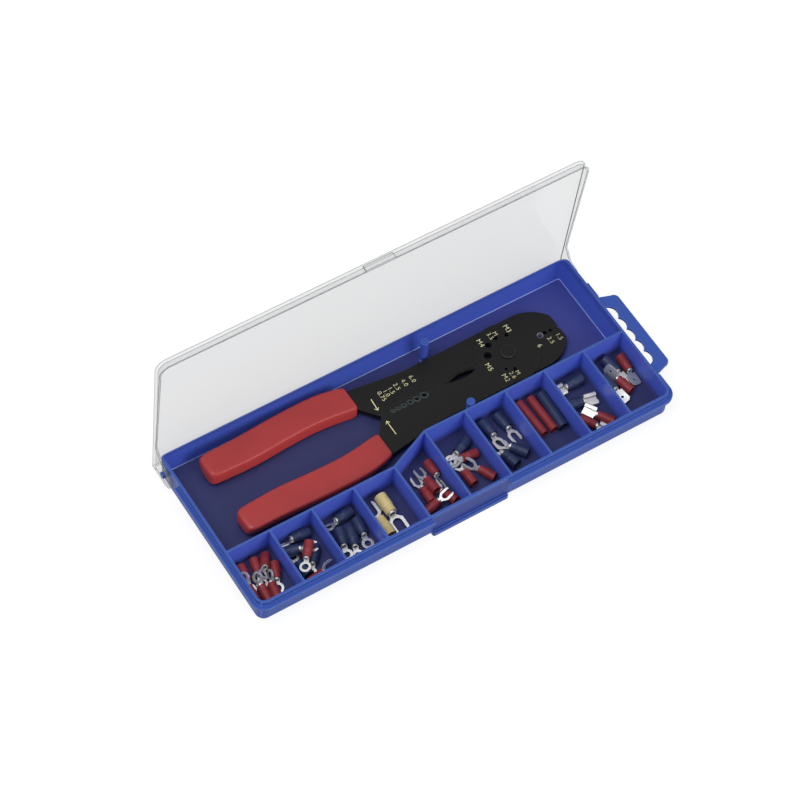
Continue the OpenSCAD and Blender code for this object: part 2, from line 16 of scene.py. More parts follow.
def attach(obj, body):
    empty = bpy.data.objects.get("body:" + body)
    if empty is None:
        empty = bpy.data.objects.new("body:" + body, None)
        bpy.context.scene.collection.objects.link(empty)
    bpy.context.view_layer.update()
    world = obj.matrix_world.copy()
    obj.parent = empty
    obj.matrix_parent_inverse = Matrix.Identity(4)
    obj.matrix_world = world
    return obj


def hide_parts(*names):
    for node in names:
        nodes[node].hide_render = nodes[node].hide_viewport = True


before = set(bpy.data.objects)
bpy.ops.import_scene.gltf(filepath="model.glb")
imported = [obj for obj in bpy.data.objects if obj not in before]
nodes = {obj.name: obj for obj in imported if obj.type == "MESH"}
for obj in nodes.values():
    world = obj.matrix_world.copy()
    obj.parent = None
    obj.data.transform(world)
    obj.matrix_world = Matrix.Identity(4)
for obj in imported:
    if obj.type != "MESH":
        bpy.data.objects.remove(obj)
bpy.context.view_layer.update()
MM = 0.001
print("nodes loaded:", len(nodes))

# %% [markdown]
# ## Camera
# A camera matrix is three unit vectors, right, up and backwards, and a place. Writing the
# vectors down keeps the view exact, where angles would pile up.

# %% Camera
CAMERA_PLACE = Vector((-0.5300, -0.7034, 1.4042))
LOOK = Vector((0.32104, 0.43762, -0.83989)).normalized()
RIGHT = Vector((0.84716, -0.52916, 0.04810)).normalized()
FOCAL_PIXELS = 2930
IMAGE_PIXELS = 800
SENSOR = 36

backwards = -LOOK
up = backwards.cross(RIGHT).normalized()
across = up.cross(backwards)
camera_data = bpy.data.cameras.new("camera")
camera_data.sensor_width = SENSOR
camera_data.lens = FOCAL_PIXELS / IMAGE_PIXELS * SENSOR
camera = bpy.data.objects.new("camera", camera_data)
bpy.context.scene.collection.objects.link(camera)
turn = Matrix((across, up, backwards)).transposed().to_4x4()
camera.matrix_world = Matrix.Translation(CAMERA_PLACE) @ turn
bpy.context.scene.camera = camera
bpy.context.scene.view_settings.view_transform = "Standard"
print("lens:", round(camera_data.lens, 1), "mm")

# %% [markdown]
# ## Floor, world and lamps
# The floor gives off a little light to the camera, to glossy rays and to rays that pass through
# the lid, so the page stays white there while the shadow under the tray still shows. A broad
# lamp overhead does most of the work. A second one in front, a little to the right, opens the
# shaded walls and draws a light line along the edges.


# %% Small helpers for shader nodes
def node(tree, kind, **values):
    """Adds a shader node and sets its sockets by name, with spaces written as underscores."""
    made = tree.nodes.new("ShaderNode" + kind)
    for name, value in values.items():
        made.inputs[name.replace("_", " ")].default_value = value
    return made


def math_node(tree, operation, first, second=None, clamp=False):
    """Adds a math node; each input is a number or the output socket of another node."""
    made = tree.nodes.new("ShaderNodeMath")
    made.operation = operation
    made.use_clamp = clamp
    for place, value in enumerate((first, second)):
        if isinstance(value, (int, float)):
            made.inputs[place].default_value = value
        elif value is not None:
            tree.links.new(value, made.inputs[place])
    return made.outputs[0]


def seen_directly(tree):
    """One for rays from the camera, from a mirror or through clear plastic, and nought else."""
    path = node(tree, "LightPath")
    mirrored = math_node(tree, "MAXIMUM", path.outputs["Is Glossy Ray"],
                         path.outputs["Is Transmission Ray"])
    return math_node(tree, "MAXIMUM", path.outputs["Is Camera Ray"], mirrored)


# %% Floor
FLOOR_REACH = 4
FLOOR_GLOW = 0.84
PAPER_SHOWN = 0.2
PAPER_BOUNCE = 0.7
floor_mesh = bpy.data.meshes.new("studio_floor")
corners = [(-FLOOR_REACH, -FLOOR_REACH, 0), (FLOOR_REACH, -FLOOR_REACH, 0),
           (FLOOR_REACH, FLOOR_REACH, 0), (-FLOOR_REACH, FLOOR_REACH, 0)]
floor_mesh.from_pydata(corners, [], [(0, 1, 2, 3)])
floor = bpy.data.objects.new("studio_floor", floor_mesh)
bpy.context.scene.collection.objects.link(floor)
paper = bpy.data.materials.new("studio_paper")
paper.use_nodes = True
tree = paper.node_tree
tree.nodes.clear()
matt = node(tree, "BsdfDiffuse")
glow = node(tree, "Emission", Color=(1, 1, 1, 1))
both = tree.nodes.new("ShaderNodeAddShader")
page = tree.nodes.new("ShaderNodeOutputMaterial")
direct = seen_directly(tree)
tree.links.new(math_node(tree, "MULTIPLY", direct, FLOOR_GLOW), glow.inputs["Strength"])
tone = node(tree, "MapRange", To_Min=PAPER_BOUNCE, To_Max=PAPER_SHOWN)
tree.links.new(direct, tone.inputs["Value"])
tree.links.new(tone.outputs["Result"], matt.inputs["Color"])
tree.links.new(matt.outputs[0], both.inputs[0])
tree.links.new(glow.outputs[0], both.inputs[1])
tree.links.new(both.outputs[0], page.inputs["Surface"])
floor_mesh.materials.append(paper)
print("floor:", FLOOR_REACH * 2, "m square")

# %% World
WORLD_LEVEL = 0.4
world = bpy.data.worlds.new("studio")
bpy.context.scene.world = world
world.use_nodes = True
tree = world.node_tree
tree.nodes.clear()
sky = node(tree, "Background", Color=(1, 1, 1, 1))
air = tree.nodes.new("ShaderNodeOutputWorld")
extra = math_node(tree, "MULTIPLY", seen_directly(tree), 1 - WORLD_LEVEL)
tree.links.new(math_node(tree, "ADD", extra, WORLD_LEVEL), sky.inputs["Strength"])
tree.links.new(sky.outputs[0], air.inputs["Surface"])
print("world level:", WORLD_LEVEL)


# %% Lamps
def soft_lamp(name, place, target, size, power):
    """A square area lamp that looks at a point."""
    data = bpy.data.lights.new(name, "AREA")
    data.shape = "SQUARE"
    data.size = size
    data.energy = power
    lamp = bpy.data.objects.new(name, data)
    bpy.context.scene.collection.objects.link(lamp)
    lamp.location = place
    aim = Vector(target) - Vector(place)
    lamp.rotation_euler = aim.to_track_quat("-Z", "Y").to_euler()
    return lamp


KIT_MIDDLE = (0, 0, 0.02)
soft_lamp("overhead", place=(-0.55, 0.0, 1.45), target=KIT_MIDDLE, size=1.0, power=13)
soft_lamp("front", place=(0.5, -1.3, 0.85), target=KIT_MIDDLE, size=0.9, power=10.5)

# %% [markdown]
# ## A skin for moulded and pressed parts
# No real part has a perfectly sharp edge or a perfectly even face. This node group gives both
# to any material: a rounded normal along the edges, a fine grain, a slow mottle, and a mask of
# the edges, used for wear and for painted highlights and painted shade along the edges. It could
# be sculpted, but at half a millimetre a shader does it for every node at once.


# %% Sockets of the shared skin
def group_socket(group, name, way, kind, value=None):
    """Adds a named socket to a node group."""
    socket = group.interface.new_socket(name, in_out=way, socket_type="NodeSocket" + kind)
    if value is not None:
        socket.default_value = value


skin = bpy.data.node_groups.new("moulded_skin", "ShaderNodeTree")
group_socket(skin, "Edge Radius", "INPUT", "Float", 0.0004)
group_socket(skin, "Grain Scale", "INPUT", "Float", 900)
group_socket(skin, "Grain Depth", "INPUT", "Float", 0.15)
group_socket(skin, "Mottle Scale", "INPUT", "Float", 40)
group_socket(skin, "Edge", "OUTPUT", "Float")
group_socket(skin, "Grain", "OUTPUT", "Float")
group_socket(skin, "Mottle", "OUTPUT", "Float")
group_socket(skin, "Normal", "OUTPUT", "Vector")
print("sockets of the skin:", len(skin.interface.items_tree))

# %% Nodes of the shared skin
BEVEL_SAMPLES = 6
BUMP_DISTANCE = 0.0002
EDGE_GAIN = 6
inside = skin.nodes.new("NodeGroupInput")
outside = skin.nodes.new("NodeGroupOutput")
coords = node(skin, "TexCoord")
geometry = node(skin, "NewGeometry")
grain = node(skin, "TexNoise", Detail=3.0)
mottle = node(skin, "TexNoise", Detail=2.0)
rounded = node(skin, "Bevel")
rounded.samples = BEVEL_SAMPLES
bump = node(skin, "Bump", Distance=BUMP_DISTANCE)
agree = skin.nodes.new("ShaderNodeVectorMath")
agree.operation = "DOT_PRODUCT"
skin.links.new(coords.outputs["Object"], grain.inputs["Vector"])
skin.links.new(coords.outputs["Object"], mottle.inputs["Vector"])
skin.links.new(inside.outputs["Grain Scale"], grain.inputs["Scale"])
skin.links.new(inside.outputs["Mottle Scale"], mottle.inputs["Scale"])
skin.links.new(inside.outputs["Edge Radius"], rounded.inputs["Radius"])
skin.links.new(inside.outputs["Grain Depth"], bump.inputs["Strength"])
skin.links.new(grain.outputs["Fac"], bump.inputs["Height"])
skin.links.new(rounded.outputs["Normal"], bump.inputs["Normal"])
skin.links.new(rounded.outputs["Normal"], agree.inputs[0])
skin.links.new(geometry.outputs["Normal"], agree.inputs[1])
turned = math_node(skin, "SUBTRACT", 1, agree.outputs["Value"])
edge = math_node(skin, "MULTIPLY", turned, EDGE_GAIN, clamp=True)
skin.links.new(edge, outside.inputs["Edge"])
skin.links.new(grain.outputs["Fac"], outside.inputs["Grain"])
skin.links.new(mottle.outputs["Fac"], outside.inputs["Mottle"])
skin.links.new(bump.outputs["Normal"], outside.inputs["Normal"])
print("skin outputs:", [s.name for s in outside.inputs if s.name])


# %% Helpers for finishes
def new_finish(name, **values):
    """A material with a Principled shader whose plain sockets are set by name."""
    made = bpy.data.materials.new(name)
    made.use_nodes = True
    shader = made.node_tree.nodes["Principled BSDF"]
    for socket, value in values.items():
        shader.inputs[socket.replace("_", " ")].default_value = value
    return made, made.node_tree, shader


def add_skin(tree, shader, **values):
    """Places the shared skin in a material, with its own values, and joins its normal."""
    made = tree.nodes.new("ShaderNodeGroup")
    made.node_tree = skin
    for socket, value in values.items():
        made.inputs[socket.replace("_", " ")].default_value = value
    tree.links.new(made.outputs["Normal"], shader.inputs["Normal"])
    return made


def two_tone(tree, mask, first, second):
    """A colour that goes from the first to the second as the mask goes from nought to one."""
    made = tree.nodes.new("ShaderNodeMix")
    made.data_type = "RGBA"
    for socket, value in (("A", first), ("B", second)):
        into = next(s for s in made.inputs if s.name == socket and s.type == "RGBA")
        if isinstance(value, tuple):
            into.default_value = (*value, 1)
        else:
            tree.links.new(value, into)
    tree.links.new(mask, made.inputs[0])
    return next(s for s in made.outputs if s.type == "RGBA")


def spread_value(tree, mask, low, high):
    """A value that goes from low to high as the mask goes from nought to one."""
    made = node(tree, "MapRange", To_Min=low, To_Max=high)
    tree.links.new(mask, made.inputs["Value"])
    return made.outputs["Result"]


def dress(names, finish):
    """Gives a finish to every material slot of the named nodes."""
    for name in names:
        for place in nodes[name].material_slots:
            place.material = finish


# %% [markdown]
# ## Blue tray
# The tray is injection moulded in one go from a tough blue plastic. Its faces are satin, and the
# thin tops of the walls catch the light, with a paler painted highlight along the edges. The
# inner walls are painted lighter and bluer than the floor: painted light for the light that
# comes through them. The floor is painted darker, less dark towards the right end of the well.
# A painted highlight marks the foot of the well's walls, painted shade darkens the walls of the
# cells towards the floor and the recess in the front wall, and a painted shadow makes the floor
# nearly black where the head of the tool covers it. One finish serves the tray, the partition,
# the dividers and the hanging tab, since they are one moulding. Masks made from the place of
# each point, in metres, say which colour goes where.

# %% Blues
BLUE = (0.043, 0.094, 0.392)
BLUE_DEEP = (0.036, 0.080, 0.342)
# A painted highlight along the edges of the moulding.
BLUE_EDGE_HIGHLIGHT = (0.165, 0.260, 0.640)
# Painted light: the inner walls of the well and, lighter still, of the cells.
BLUE_WELL_LIT = (0.064, 0.112, 0.540)
BLUE_CELL_LIT = (0.096, 0.156, 0.700)
# Painted shade low on the walls of the cells.
BLUE_CORNER_SHADE = (0.060, 0.074, 0.270)
# Painted shade in the recess of the front wall.
BLUE_RECESS_SHADE = (0.024, 0.050, 0.265)
# A painted highlight at the foot of the well's walls.
BLUE_FOOT_HIGHLIGHT = (0.400, 0.500, 0.950)
# Painted shade on the floor, less dark towards the end of the well.
BLUE_FLOOR_SHADE = (0.036, 0.041, 0.128)
BLUE_FLOOR_END_SHADE = (0.046, 0.058, 0.265)
# The painted shadow under the head of the tool.
BLUE_SHADED = (0.008, 0.009, 0.018)
print("blue of the outer walls:", BLUE)

# %% Places in the tray
FLOOR_TOP = 0.0016
FLOOR_SOFT = 0.00004
WALL_TOP = 0.0195
WALL_SOFT = 0.0003
FOOT_LOW = 0.00012
FOOT_HIGH = 0.0008
FOOT_SOFT = 0.00005
INSIDE_X = 0.1342
INSIDE_Y = 0.0547
WELL_FRONT = -0.0045
CORNER_SHADE_RISE = 0.007
RECESS_HALF = 0.0249
RECESS_LOW = 0.0034
RECESS_HIGH = 0.0165
RECESS_SOFT = 0.0008
FRONT_FACE = -0.0556
END_START = -0.02
# Where a painted shadow darkens the floor under the head of the tool.
SHADED_X = 0.058
SHADED_Y = 0.0214
SHADED_LONG = 0.034
SHADED_WIDE = 0.014
SHADED_SOFT = 0.003
print("walls:", round((WALL_TOP - FLOOR_TOP) / MM, 1), "mm above the floor")


# %% Masks of the tray's regions
def band(tree, value, low, high, soft):
    """A mask that is one between low and high and fades to nought over soft on either side."""
    rise = node(tree, "MapRange", From_Min=low - soft, From_Max=low)
    fall = node(tree, "MapRange", From_Min=high + soft, From_Max=high)
    tree.links.new(value, rise.inputs["Value"])
    tree.links.new(value, fall.inputs["Value"])
    return math_node(tree, "MULTIPLY", rise.outputs["Result"], fall.outputs["Result"])


def all_of(tree, *masks):
    """One where every mask is one."""
    result = masks[0]
    for mask in masks[1:]:
        result = math_node(tree, "MULTIPLY", result, mask)
    return result


def tray_masks(tree):
    """Masks of the tray's regions by name, each one inside its region and nought outside."""
    coords = node(tree, "TexCoord")
    parts = node(tree, "SeparateXYZ")
    tree.links.new(coords.outputs["Object"], parts.inputs[0])
    x, y, height = (parts.outputs[axis] for axis in "XYZ")
    off_x = math_node(tree, "ABSOLUTE", x)
    off_y = math_node(tree, "ABSOLUTE", y)
    within = all_of(tree, math_node(tree, "LESS_THAN", off_x, INSIDE_X),
                    math_node(tree, "LESS_THAN", off_y, INSIDE_Y))
    in_well = math_node(tree, "GREATER_THAN", y, WELL_FRONT)
    in_cells = math_node(tree, "SUBTRACT", 1, in_well)
    sink = node(tree, "MapRange", From_Min=FLOOR_TOP + CORNER_SHADE_RISE, From_Max=FLOOR_TOP)
    tree.links.new(height, sink.inputs["Value"])
    end = node(tree, "MapRange", From_Min=END_START, From_Max=INSIDE_X)
    tree.links.new(x, end.inputs["Value"])
    foot_highlight = band(tree, height, FLOOR_TOP + FOOT_LOW, FLOOR_TOP + FOOT_HIGH, FOOT_SOFT)
    along = math_node(tree, "ABSOLUTE", math_node(tree, "SUBTRACT", x, SHADED_X))
    across = math_node(tree, "ABSOLUTE", math_node(tree, "SUBTRACT", y, SHADED_Y))
    return {
        "floor": all_of(tree, within,
                        band(tree, height, 0, FLOOR_TOP + FLOOR_SOFT, FLOOR_SOFT)),
        "wall": all_of(tree, within,
                       band(tree, height, FLOOR_TOP, WALL_TOP - WALL_SOFT, WALL_SOFT)),
        # A painted highlight along the foot of the well's walls.
        "foot_highlight": all_of(tree, within, in_well, foot_highlight),
        # Painted shade low on the walls of the cells, fading out as the wall rises.
        "corner": all_of(tree, within, in_cells, sink.outputs["Result"]),
        # Painted shade in the recess of the front wall.
        "recess": all_of(tree, math_node(tree, "LESS_THAN", off_x, RECESS_HALF),
                         math_node(tree, "LESS_THAN", y, FRONT_FACE),
                         band(tree, height, RECESS_LOW, RECESS_HIGH, RECESS_SOFT)),
        "cells": in_cells,
        # Where the painted shade on the floor of the well grows less dark.
        "end": all_of(tree, in_well, end.outputs["Result"]),
        # A painted shadow under the head of the tool.
        "shaded": all_of(tree, band(tree, along, 0, SHADED_LONG, SHADED_SOFT),
                         band(tree, across, 0, SHADED_WIDE, SHADED_SOFT)),
    }


# %% Blue plastic
blue_plastic, tree, shader = new_finish("blue_plastic", Specular_IOR_Level=0.13)
layer = add_skin(tree, shader, Edge_Radius=0.0005, Grain_Scale=700, Grain_Depth=0.12)
masks = tray_masks(tree)
tone = two_tone(tree, layer.outputs["Mottle"], BLUE_DEEP, BLUE)
# Painted light on the inner walls, lighter in the cells than in the well.
lit_walls = two_tone(tree, masks["cells"], BLUE_WELL_LIT, BLUE_CELL_LIT)
tone = two_tone(tree, masks["wall"], tone, lit_walls)
# Painted shade low in the cells.
tone = two_tone(tree, masks["corner"], tone, BLUE_CORNER_SHADE)
# Painted shade in the front recess.
tone = two_tone(tree, masks["recess"], tone, BLUE_RECESS_SHADE)
# Painted highlight along the edges.
tone = two_tone(tree, layer.outputs["Edge"], tone, BLUE_EDGE_HIGHLIGHT)
# Painted highlight at the foot of the well's walls.
tone = two_tone(tree, masks["foot_highlight"], tone, BLUE_FOOT_HIGHLIGHT)
# The floor is painted darker, painted shade, less dark towards the end of the well.
bed = two_tone(tree, masks["end"], BLUE_FLOOR_SHADE, BLUE_FLOOR_END_SHADE)
# A painted shadow on the floor under the head of the tool.
bed = two_tone(tree, masks["shaded"], bed, BLUE_SHADED)
tree.links.new(two_tone(tree, masks["floor"], tone, bed), shader.inputs["Base Color"])
tree.links.new(spread_value(tree, layer.outputs["Grain"], 0.3, 0.44), shader.inputs["Roughness"])
dress(["tray", "partition", "dividers", "hang_tab"], blue_plastic)
print("blue plastic on the tray and its walls")

# %% [markdown]
# ## Clear lid
# The lid is a thin crystal moulding. Glass in a renderer could bend light through it, but a thin
# sheet hardly bends anything: what shows is a faint grey veil, darker along the edges where the
# eye looks through more plastic, and sharp reflections. A low alpha with a gloss gives that and
# lets the lamps shine through, and a dark line along the edges is painted shade.

# %% Clear plastic
CLEAR = (0.40, 0.43, 0.445)
# A dark line painted along the edges: painted shade.
CLEAR_EDGE_SHADE = (0.035, 0.035, 0.04)
VEIL_FACING = 0.085
VEIL_GRAZING = 0.30
EDGE_LINE = 0.9
clear_plastic, tree, shader = new_finish("clear_plastic", IOR=1.49)
layer = add_skin(tree, shader, Edge_Radius=0.001, Grain_Scale=60, Grain_Depth=0.03)
facing = node(tree, "LayerWeight", Blend=0.35)
veil = spread_value(tree, facing.outputs["Facing"], VEIL_FACING, VEIL_GRAZING)
line = math_node(tree, "MULTIPLY", layer.outputs["Edge"], EDGE_LINE)
tree.links.new(math_node(tree, "ADD", veil, line, clamp=True), shader.inputs["Alpha"])
# The dark line along the edges is painted shade.
tree.links.new(two_tone(tree, layer.outputs["Edge"], CLEAR, CLEAR_EDGE_SHADE),
               shader.inputs["Base Color"])
tree.links.new(spread_value(tree, layer.outputs["Mottle"], 0.05, 0.11),
               shader.inputs["Roughness"])
dress(["lid"], clear_plastic)
print("clear plastic on the lid")

# %% [markdown]
# ## Black levers
# The two halves of the tool are stamped from steel plate and blackened. Blacking is thin: it is
# nearly matt, with fine lines from the rolling along the plate, and it rubs off first along the
# cut edges; the lighter edges are that wear and a painted highlight as well. The lines are a
# noise stretched along the plate. The gauge holes are ground, so they are a little lighter, and
# the widest die is bare steel.

# %% Where the tool lies
TOOL_PIVOT = Vector((0.0755, 0.0218, 0.00445))
TOOL_TILT = math.asin(0.02487)
TOOL_YAW = math.radians(1.2)
tool_turn = Matrix.Rotation(TOOL_YAW, 4, "Z") @ Matrix.Rotation(TOOL_TILT, 4, "Y")
tool_frame = Matrix.Translation(TOOL_PIVOT) @ tool_turn
print("tool tilt:", round(math.degrees(TOOL_TILT), 2), "degrees")

# %% Holes along the parting line
# Each hole: place along the tool from the pivot, and radius, in millimetres.
GAUGE_HOLES = ((-79.0, 1.7), (-75.5, 1.8), (-71.6, 1.95), (-67.2, 2.15), (-62.8, 2.4), (-57.7, 2.65))
BARE_DIES = ((22.8, 1.8),)


def in_holes(tree, holes):
    """A mask that is one inside upright holes along the tool's parting line."""
    coords = node(tree, "TexCoord")
    flat = tree.nodes.new("ShaderNodeVectorMath")
    flat.operation = "MULTIPLY"
    flat.inputs[1].default_value = (1, 1, 0)
    tree.links.new(coords.outputs["Object"], flat.inputs[0])
    inside = 0.0
    for along, radius in holes:
        place = tool_frame @ Vector((along * MM, 0, 0))
        away = tree.nodes.new("ShaderNodeVectorMath")
        away.operation = "DISTANCE"
        away.inputs[1].default_value = (place.x, place.y, 0)
        tree.links.new(flat.outputs["Vector"], away.inputs[0])
        near = math_node(tree, "LESS_THAN", away.outputs["Value"], radius * MM)
        inside = math_node(tree, "MAXIMUM", near, inside)
    return inside


print("holes to brighten:", len(GAUGE_HOLES) + len(BARE_DIES))

# %% Blackened steel
GROUND = (0.040, 0.050, 0.050)
BARE = (0.62, 0.62, 0.60)
BLACK = (0.0048, 0.0048, 0.0048)
# Lighter edges: wear of the blacking and a painted highlight.
BLACK_WORN_AND_HIGHLIGHT = (0.100, 0.100, 0.102)
ROLLING = (60, 1800, 1800)
black_steel, tree, shader = new_finish("black_steel", Specular_IOR_Level=0.19)
layer = add_skin(tree, shader, Edge_Radius=0.0003, Grain_Scale=1500, Grain_Depth=0.18)
coords = node(tree, "TexCoord")
stretch = node(tree, "Mapping", Scale=ROLLING)
lines = node(tree, "TexNoise", Scale=1.0, Detail=2.0)
tree.links.new(coords.outputs["Object"], stretch.inputs["Vector"])
tree.links.new(stretch.outputs["Vector"], lines.inputs["Vector"])
# Wear and a painted highlight along the edges.
worn_and_highlight = math_node(tree, "MULTIPLY", layer.outputs["Edge"], layer.outputs["Mottle"])
in_gauge = in_holes(tree, GAUGE_HOLES)
in_die = in_holes(tree, BARE_DIES)
tone = two_tone(tree, worn_and_highlight, BLACK, BLACK_WORN_AND_HIGHLIGHT)
tone = two_tone(tree, in_gauge, tone, GROUND)
tree.links.new(two_tone(tree, in_die, tone, BARE), shader.inputs["Base Color"])
tree.links.new(in_die, shader.inputs["Metallic"])
tree.links.new(spread_value(tree, lines.outputs["Fac"], 0.34, 0.62), shader.inputs["Roughness"])
dress(["lever_back", "lever_front"], black_steel)
print("blackened steel on the levers")

# %% [markdown]
# ## Rivet
# The halves turn on one steel rivet, blackened with them. Its head was pressed by the riveting
# tool, so it has a fine grain, and its slightly brighter rim is a painted highlight.

# %% Rivet steel
RIVET_BLACK = (0.0048, 0.0048, 0.0048)
# A painted highlight on the rim.
RIVET_RIM_HIGHLIGHT = (0.16, 0.16, 0.16)
rivet_steel, tree, shader = new_finish("rivet_steel", Specular_IOR_Level=0.2)
layer = add_skin(tree, shader, Edge_Radius=0.0004, Grain_Scale=1200, Grain_Depth=0.2)
# The rim of the head gets a painted highlight.
tree.links.new(two_tone(tree, layer.outputs["Edge"], RIVET_BLACK, RIVET_RIM_HIGHLIGHT),
               shader.inputs["Base Color"])
tree.links.new(spread_value(tree, layer.outputs["Grain"], 0.26, 0.46), shader.inputs["Roughness"])
dress(["pivot_rivet"], rivet_steel)
print("rivet steel on the pivot")

# %% [markdown]
# ## Terminals
# Each terminal is a tinned copper lug in a vinyl sleeve. Tin is a soft bright metal that smears
# where tools touched it, so its gloss is uneven. The sleeves are satin vinyl, a little darker
# where the mottle of the moulding shows.

# %% Tinned copper
TIN_DULL = (0.44, 0.44, 0.44)
TIN_BRIGHT = (0.73, 0.73, 0.72)
tinned_copper, tree, shader = new_finish("tinned_copper", Metallic=0.75)
layer = add_skin(tree, shader, Edge_Radius=0.00025, Grain_Scale=500, Grain_Depth=0.1,
                 Mottle_Scale=260)
tree.links.new(two_tone(tree, layer.outputs["Mottle"], TIN_DULL, TIN_BRIGHT),
               shader.inputs["Base Color"])
tree.links.new(spread_value(tree, layer.outputs["Mottle"], 0.54, 0.34),
               shader.inputs["Roughness"])
LUGS = [name for name in nodes if name.endswith("_lugs") or name.endswith("_barrels")]
dress(LUGS, tinned_copper)
print("tinned copper on", len(LUGS), "nodes")


# %% Vinyl sleeves
def sleeve_vinyl(name, dark, light):
    """Satin vinyl in one colour, mottled, with softened ends."""
    made, tree, shader = new_finish(name, Specular_IOR_Level=0.22)
    layer = add_skin(tree, shader, Edge_Radius=0.0004, Grain_Scale=900, Grain_Depth=0.15,
                     Mottle_Scale=180)
    tree.links.new(two_tone(tree, layer.outputs["Mottle"], dark, light),
                   shader.inputs["Base Color"])
    tree.links.new(spread_value(tree, layer.outputs["Grain"], 0.32, 0.5),
                   shader.inputs["Roughness"])
    return made


SLEEVE_COLOURS = {
    "red": ((0.20, 0.024, 0.028), (0.28, 0.036, 0.041)),
    "blue": ((0.017, 0.027, 0.070), (0.030, 0.043, 0.108)),
    "yellow": ((0.56, 0.44, 0.18), (0.68, 0.56, 0.26)),
}
sleeve_finishes = {}
for colour, (dark, light) in SLEEVE_COLOURS.items():
    vinyl = sleeve_vinyl(colour + "_sleeve", dark, light)
    sleeve_finishes[colour] = vinyl
    wearing = [n for n in nodes if n.startswith(colour + "_") and n.endswith("_sleeves")]
    dress(wearing, vinyl)
    print(colour, "vinyl on", len(wearing), "nodes")

# %% [markdown]
# ## Fuller sleeves
# The sleeves of the solid model are slimmer than those of the real kit, the blue ones most.
# Modelling forty sleeves again would be slow and would lose their places, so each one is copied
# and widened about its own axis, which is the direction in which its points spread most. The
# copies are shaded smooth round the sleeve and sharp at its steps and ends.


# %% Tools to widen sleeves
WELD = 0.000001
SHARP = 13


def loose_parts(mesh):
    """Lists the vertices of each separate piece of a mesh."""
    mesh.verts.index_update()
    seen = set()
    parts = []
    for start in mesh.verts:
        if start.index in seen:
            continue
        seen.add(start.index)
        reached = [start]
        for vertex in reached:
            for edge in vertex.link_edges:
                other = edge.other_vert(vertex)
                if other.index not in seen:
                    seen.add(other.index)
                    reached.append(other)
        parts.append(reached)
    return parts


def widen(part, factor):
    """Moves the vertices of one sleeve away from its axis."""
    points = np.array([vertex.co for vertex in part])
    centre = points.mean(axis=0)
    away = points - centre
    axis = np.linalg.eigh(away.T @ away)[1][:, 2]
    along = np.outer(away @ axis, axis)
    for vertex, place in zip(part, centre + along + factor * (away - along)):
        vertex.co = place


def fuller_sleeves(node_name, colour, factor):
    """A copy of a node's sleeves, each widened about its own axis."""
    mesh = bmesh.new()
    mesh.from_mesh(nodes[node_name].data)
    mesh.transform(nodes[node_name].matrix_world)
    bmesh.ops.remove_doubles(mesh, verts=mesh.verts, dist=WELD)
    parts = loose_parts(mesh)
    for part in parts:
        widen(part, factor)
    name = "full_" + node_name
    data = bpy.data.meshes.new(name)
    mesh.to_mesh(data)
    mesh.free()
    data.shade_smooth()
    data.set_sharp_from_angle(angle=math.radians(SHARP))
    data.materials.append(sleeve_finishes[colour])
    piece = bpy.data.objects.new(name, data)
    bpy.context.scene.collection.objects.link(piece)
    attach(piece, "case")
    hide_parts(node_name)
    return len(parts)


# %% Sleeves widened about their axes
FULLER = {"red": 1.14, "blue": 1.22}
FULLER_BUTT = {"red": 1.22, "blue": 1.32}
widened = 0
for node_name in list(nodes):
    colour = node_name.split("_")[0]
    if not node_name.endswith("_sleeves") or colour not in FULLER:
        continue
    factor = FULLER_BUTT[colour] if "_butt_" in node_name else FULLER[colour]
    widened += fuller_sleeves(node_name, colour, factor)
print("sleeves widened:", widened)

# %% [markdown]
# ## Red grips
# The grips are thick vinyl dipped or moulded over the steel tangs. They bow outwards behind the
# jaws, draw in to a waist, and end in a blunt rounded tip. A stack of rounded outlines along
# that bowed line, joined into a skin, follows the real piece closely, and one subdivision makes
# it smooth. Upright faces are painted a lighter, warmer red: painted light for the light that
# reaches their sides.

# %% Red vinyl
RED_DARK = (0.30, 0.025, 0.027)
RED = (0.385, 0.034, 0.036)
# Painted light on the upright sides.
RED_SIDE_LIT = (0.64, 0.066, 0.052)
FLAT_LEAN = 0.75
UPRIGHT_LEAN = 0.15
red_grip, tree, shader = new_finish("red_grip", Specular_IOR_Level=0.36)
layer = add_skin(tree, shader, Edge_Radius=0.0006, Grain_Scale=420, Grain_Depth=0.22,
                 Mottle_Scale=55)
facing = node(tree, "NewGeometry")
lean = node(tree, "SeparateXYZ")
tree.links.new(facing.outputs["Normal"], lean.inputs[0])
# A mask of the upright faces, which get painted light.
side_light = node(tree, "MapRange", From_Min=FLAT_LEAN, From_Max=UPRIGHT_LEAN)
tree.links.new(math_node(tree, "ABSOLUTE", lean.outputs["Z"]), side_light.inputs["Value"])
tone = two_tone(tree, layer.outputs["Mottle"], RED_DARK, RED)
tree.links.new(two_tone(tree, side_light.outputs["Result"], tone, RED_SIDE_LIT),
               shader.inputs["Base Color"])
tree.links.new(spread_value(tree, layer.outputs["Grain"], 0.26, 0.4), shader.inputs["Roughness"])
print("red vinyl ready")

# %% Grip rows
# Each row: place behind the pivot, inner and outer edge from the parting line, thickness.
GRIP_ROWS = (
    (96, 11.1, 24.7, 8.4), (96.3, 10.4, 25.7, 9.8), (97.2, 9.8, 26.5, 10.5),
    (102, 10.3, 27.8, 10.5), (108, 11.3, 29.2, 10.5), (115, 12.1, 30, 10.5),
    (122, 12.6, 30.3, 10.5), (130, 12.7, 30.2, 10.5), (138, 12.3, 30, 10.5),
    (146, 12.1, 29.8, 10.5), (154, 11.4, 29.2, 10.5), (162, 11.1, 28.8, 10.5),
    (170, 11.1, 28.4, 10.5), (178, 11.5, 28.3, 10.4), (184.6, 11.8, 28.4, 10.4),
    (188.4, 12.1, 28, 10.3), (190.4, 13, 27.2, 9.6), (191.2, 14.4, 26, 8.4),
    (191.5, 16, 24.6, 6.6),
)
print("outlines along a grip:", len(GRIP_ROWS))

